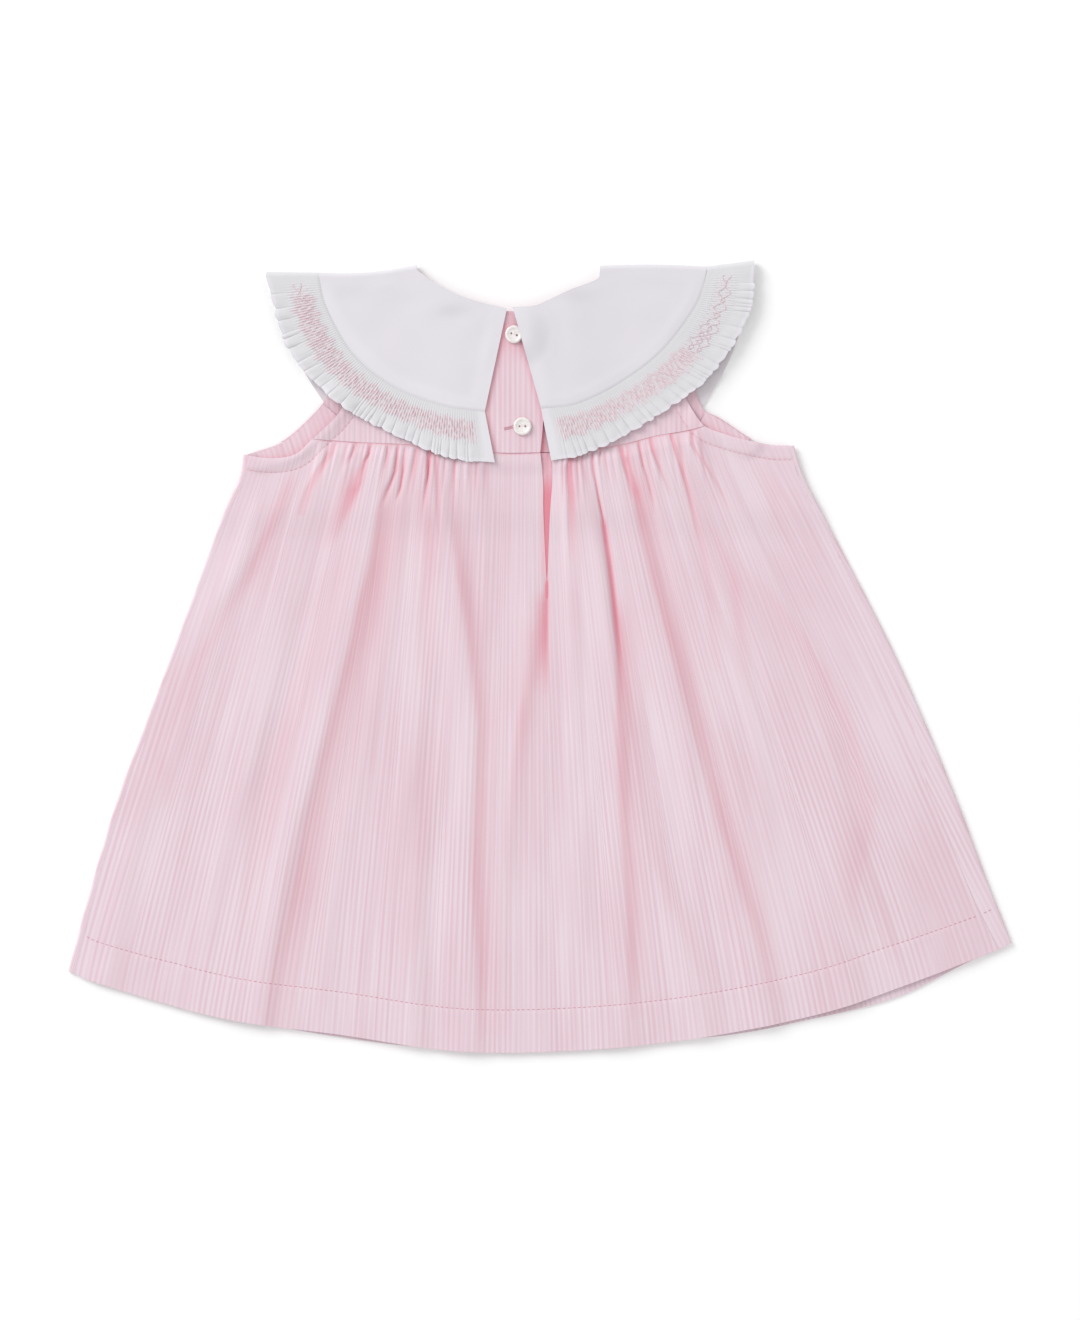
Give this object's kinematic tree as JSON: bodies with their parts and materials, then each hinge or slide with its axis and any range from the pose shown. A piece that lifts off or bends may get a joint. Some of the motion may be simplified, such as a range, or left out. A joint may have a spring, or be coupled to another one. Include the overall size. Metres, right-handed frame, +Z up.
{
  "type": "toddler dress",
  "caption": "Sleeveless toddler dress laid flat on its front: pink striped cotton, gathered skirt below a buttoned back yoke, white collar with a smocked ruffle.",
  "frame": {"origin": "on the table, under the middle of the dress's length and width", "axes": "+X to the dress's right as seen from above, across the hem; +Y towards the collar; +Z up off the table, out of the dress's back"},
  "size_m": [0.5004, 0.4197, 0.0093],
  "materials": {
    "pink_stripe": "matt ribbed cotton, fine pink and white stripes",
    "white_cotton": "matt white cotton",
    "pearl": "pearly, polished"
  },
  "bodies": {
    "root": {"back_skirt": "pink_stripe", "front_skirt": "pink_stripe", "slit_underlap": "pink_stripe", "back_yoke_left": "pink_stripe", "back_yoke_right": "pink_stripe", "front_yoke": "pink_stripe", "neck_band": "pink_stripe", "armhole_facing_left": "pink_stripe", "armhole_facing_right": "pink_stripe", "collar_left": "white_cotton", "collar_right": "white_cotton", "ruffle_left": "white_cotton", "ruffle_right": "white_cotton", "button_neck": "pearl", "button_yoke": "pearl"}
  },
  "joints": []
}
